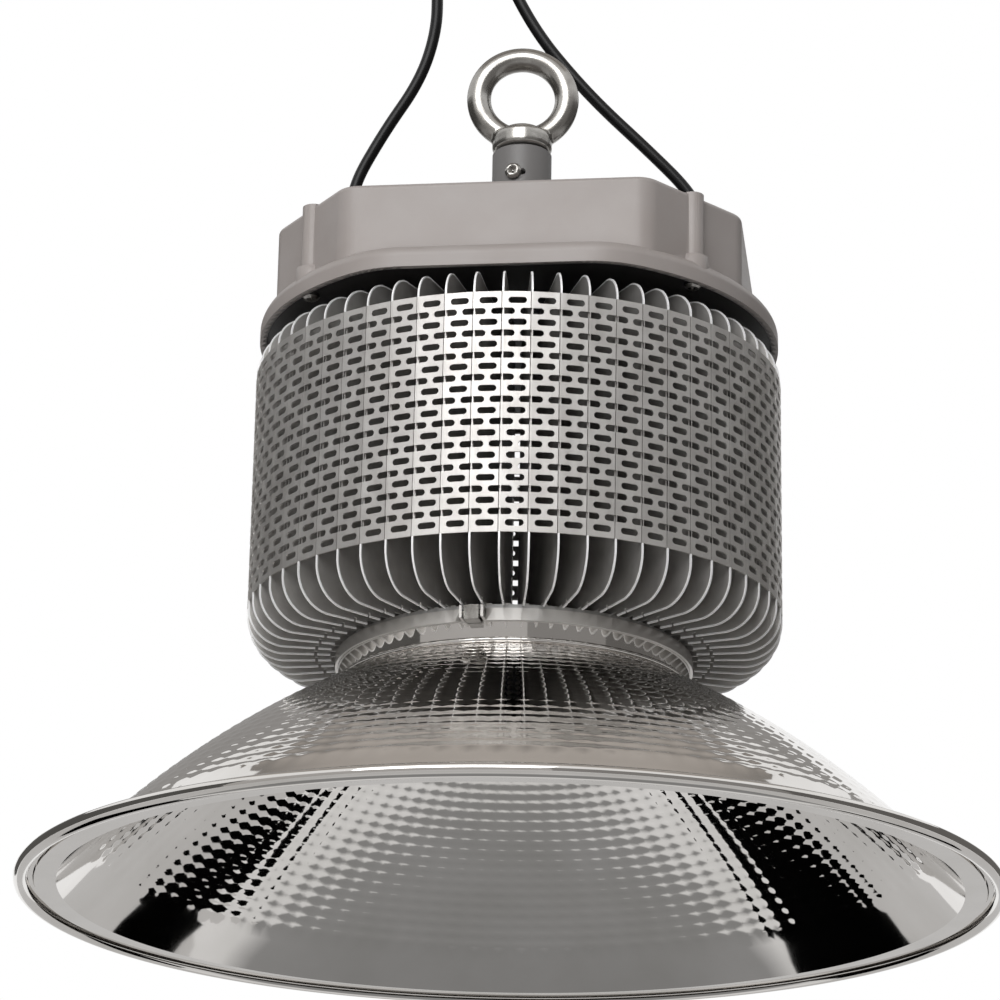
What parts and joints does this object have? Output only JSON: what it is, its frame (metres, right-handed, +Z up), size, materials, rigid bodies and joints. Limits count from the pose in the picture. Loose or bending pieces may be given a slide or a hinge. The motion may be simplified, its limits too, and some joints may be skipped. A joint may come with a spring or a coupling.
{
  "type": "high bay light",
  "caption": "High bay light: spun bell reflector clamped under a round folded-fin heat sink, driver housing on posts above, lifting eye on its stem and two leads out of the top.",
  "frame": {"origin": "centre of the plane that the reflector's rim rests on", "axes": "+Z up along the axis of the light, -Y to the front, where the clamp and the eye's lock screw are"},
  "size_m": [0.43, 0.43, 0.5247],
  "materials": {
    "polished_aluminium": "spun, polished to a mirror, bell pressed in facets",
    "polished_band": "polished strip",
    "plate_aluminium": "machined",
    "fin_aluminium": "bare mill finish sheet with bright punched edges",
    "grey_powder_coat": "warm grey fine-textured powder coat",
    "black_coat": "black coat",
    "zinc_steel": "bright zinc plate",
    "driver_case": "anodised case",
    "terminal_plastic": "moulded",
    "black_plastic": "moulded nylon",
    "black_rubber": "moulded",
    "cable_sheath": "semi-gloss sheath",
    "core_insulation": "brown, blue and green-yellow insulation",
    "tinned_copper": "tinned",
    "white_board": "white solder mask on aluminium",
    "led_phosphor": "yellow phosphor over ceramic",
    "lens_glass": "clear toughened glass",
    "clear_silicone": "translucent silicone"
  },
  "bodies": {
    "root": {"base_plate": "plate_aluminium", "board_screws": "zinc_steel", "clamp_band": "polished_band", "clamp_block": "zinc_steel", "clamp_rivet": "zinc_steel", "cover_plate": "black_coat", "cover_screws": "zinc_steel", "driver_housing": "grey_powder_coat", "driver_rails": "plate_aluminium", "driver_screws": "zinc_steel", "driver_unit": "driver_case", "eye_bolt": "zinc_steel", "eye_lock_screw": "zinc_steel", "fin_sector_01": "fin_aluminium", "fin_sector_02": "fin_aluminium", "fin_sector_03": "fin_aluminium", "fin_sector_04": "fin_aluminium", "fin_sector_05": "fin_aluminium", "fin_sector_06": "fin_aluminium", "fin_sector_07": "fin_aluminium", "fin_sector_08": "fin_aluminium", "fin_sector_09": "fin_aluminium", "fin_sector_10": "fin_aluminium", "fin_sector_11": "fin_aluminium", "fin_sector_12": "fin_aluminium", "gland_bodies": "black_plastic", "gland_locknuts": "black_plastic", "gland_nuts": "black_plastic", "gland_seals": "black_rubber", "housing_gasket": "black_rubber", "inner_lead_left": "cable_sheath", "inner_lead_right": "cable_sheath", "lead_grommet": "black_rubber", "lead_left": "cable_sheath", "lead_left_cores": "core_insulation", "lead_left_ferrules": "tinned_copper", "lead_right": "cable_sheath", "lead_right_cores": "core_insulation", "lead_right_ferrules": "tinned_copper", "led_board": "white_board", "led_packages": "led_phosphor", "lens": "lens_glass", "lens_gasket": "clear_silicone", "lens_ring": "black_coat", "lens_ring_screws": "zinc_steel", "output_lead": "cable_sheath", "post_screws_low": "zinc_steel", "post_screws_top": "zinc_steel", "posts": "plate_aluminium", "reflector": "polished_aluminium", "terminal_block": "terminal_plastic", "terminal_screws": "zinc_steel"}
  },
  "joints": []
}
